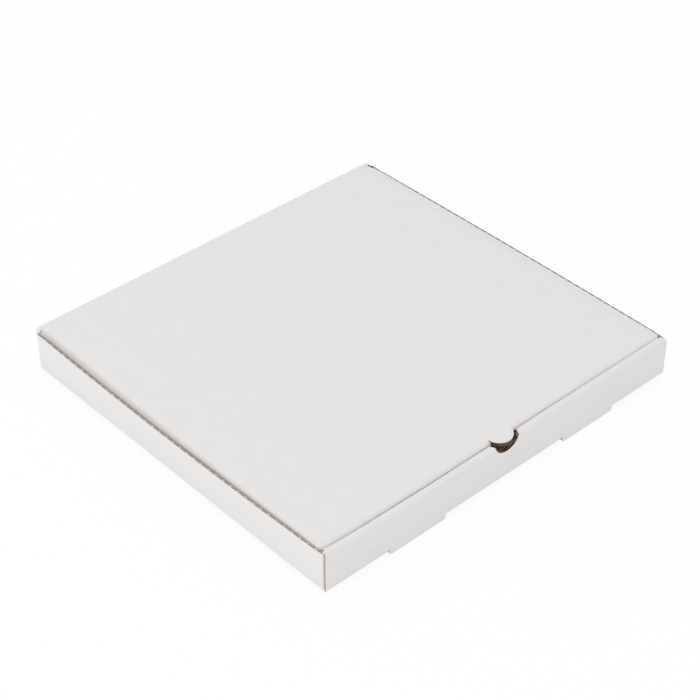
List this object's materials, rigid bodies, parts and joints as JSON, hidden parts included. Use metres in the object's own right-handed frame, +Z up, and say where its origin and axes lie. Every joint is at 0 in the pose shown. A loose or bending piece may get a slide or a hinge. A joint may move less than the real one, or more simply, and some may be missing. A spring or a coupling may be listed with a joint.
{
  "type": "pizza box",
  "caption": "Shallow square pizza box folded from corrugated board, with a rolled front wall, two feet, a thumb notch and a tuck-in lid hinged at the rear.",
  "frame": {"origin": "on the surface that the box stands on, in the middle of the box's plan", "axes": "+Z up, -Y towards the front wall with the thumb notch, +X to the right seen from the front"},
  "size_m": [0.292, 0.273, 0.0343],
  "materials": {
    "white_board": "white uncoated outer liner, brown kraft inside and at the cut edges"
  },
  "bodies": {
    "tray": {"tray": "white_board"},
    "lid": {"lid": "white_board"}
  },
  "joints": [
    {"name": "lid_hinge", "type": "hinge", "parent": "tray", "child": "lid", "pos_m": [0, 0.13515, 0.03295], "axis": [-1, 0, 0], "range_deg": [0, 180]}
  ]
}
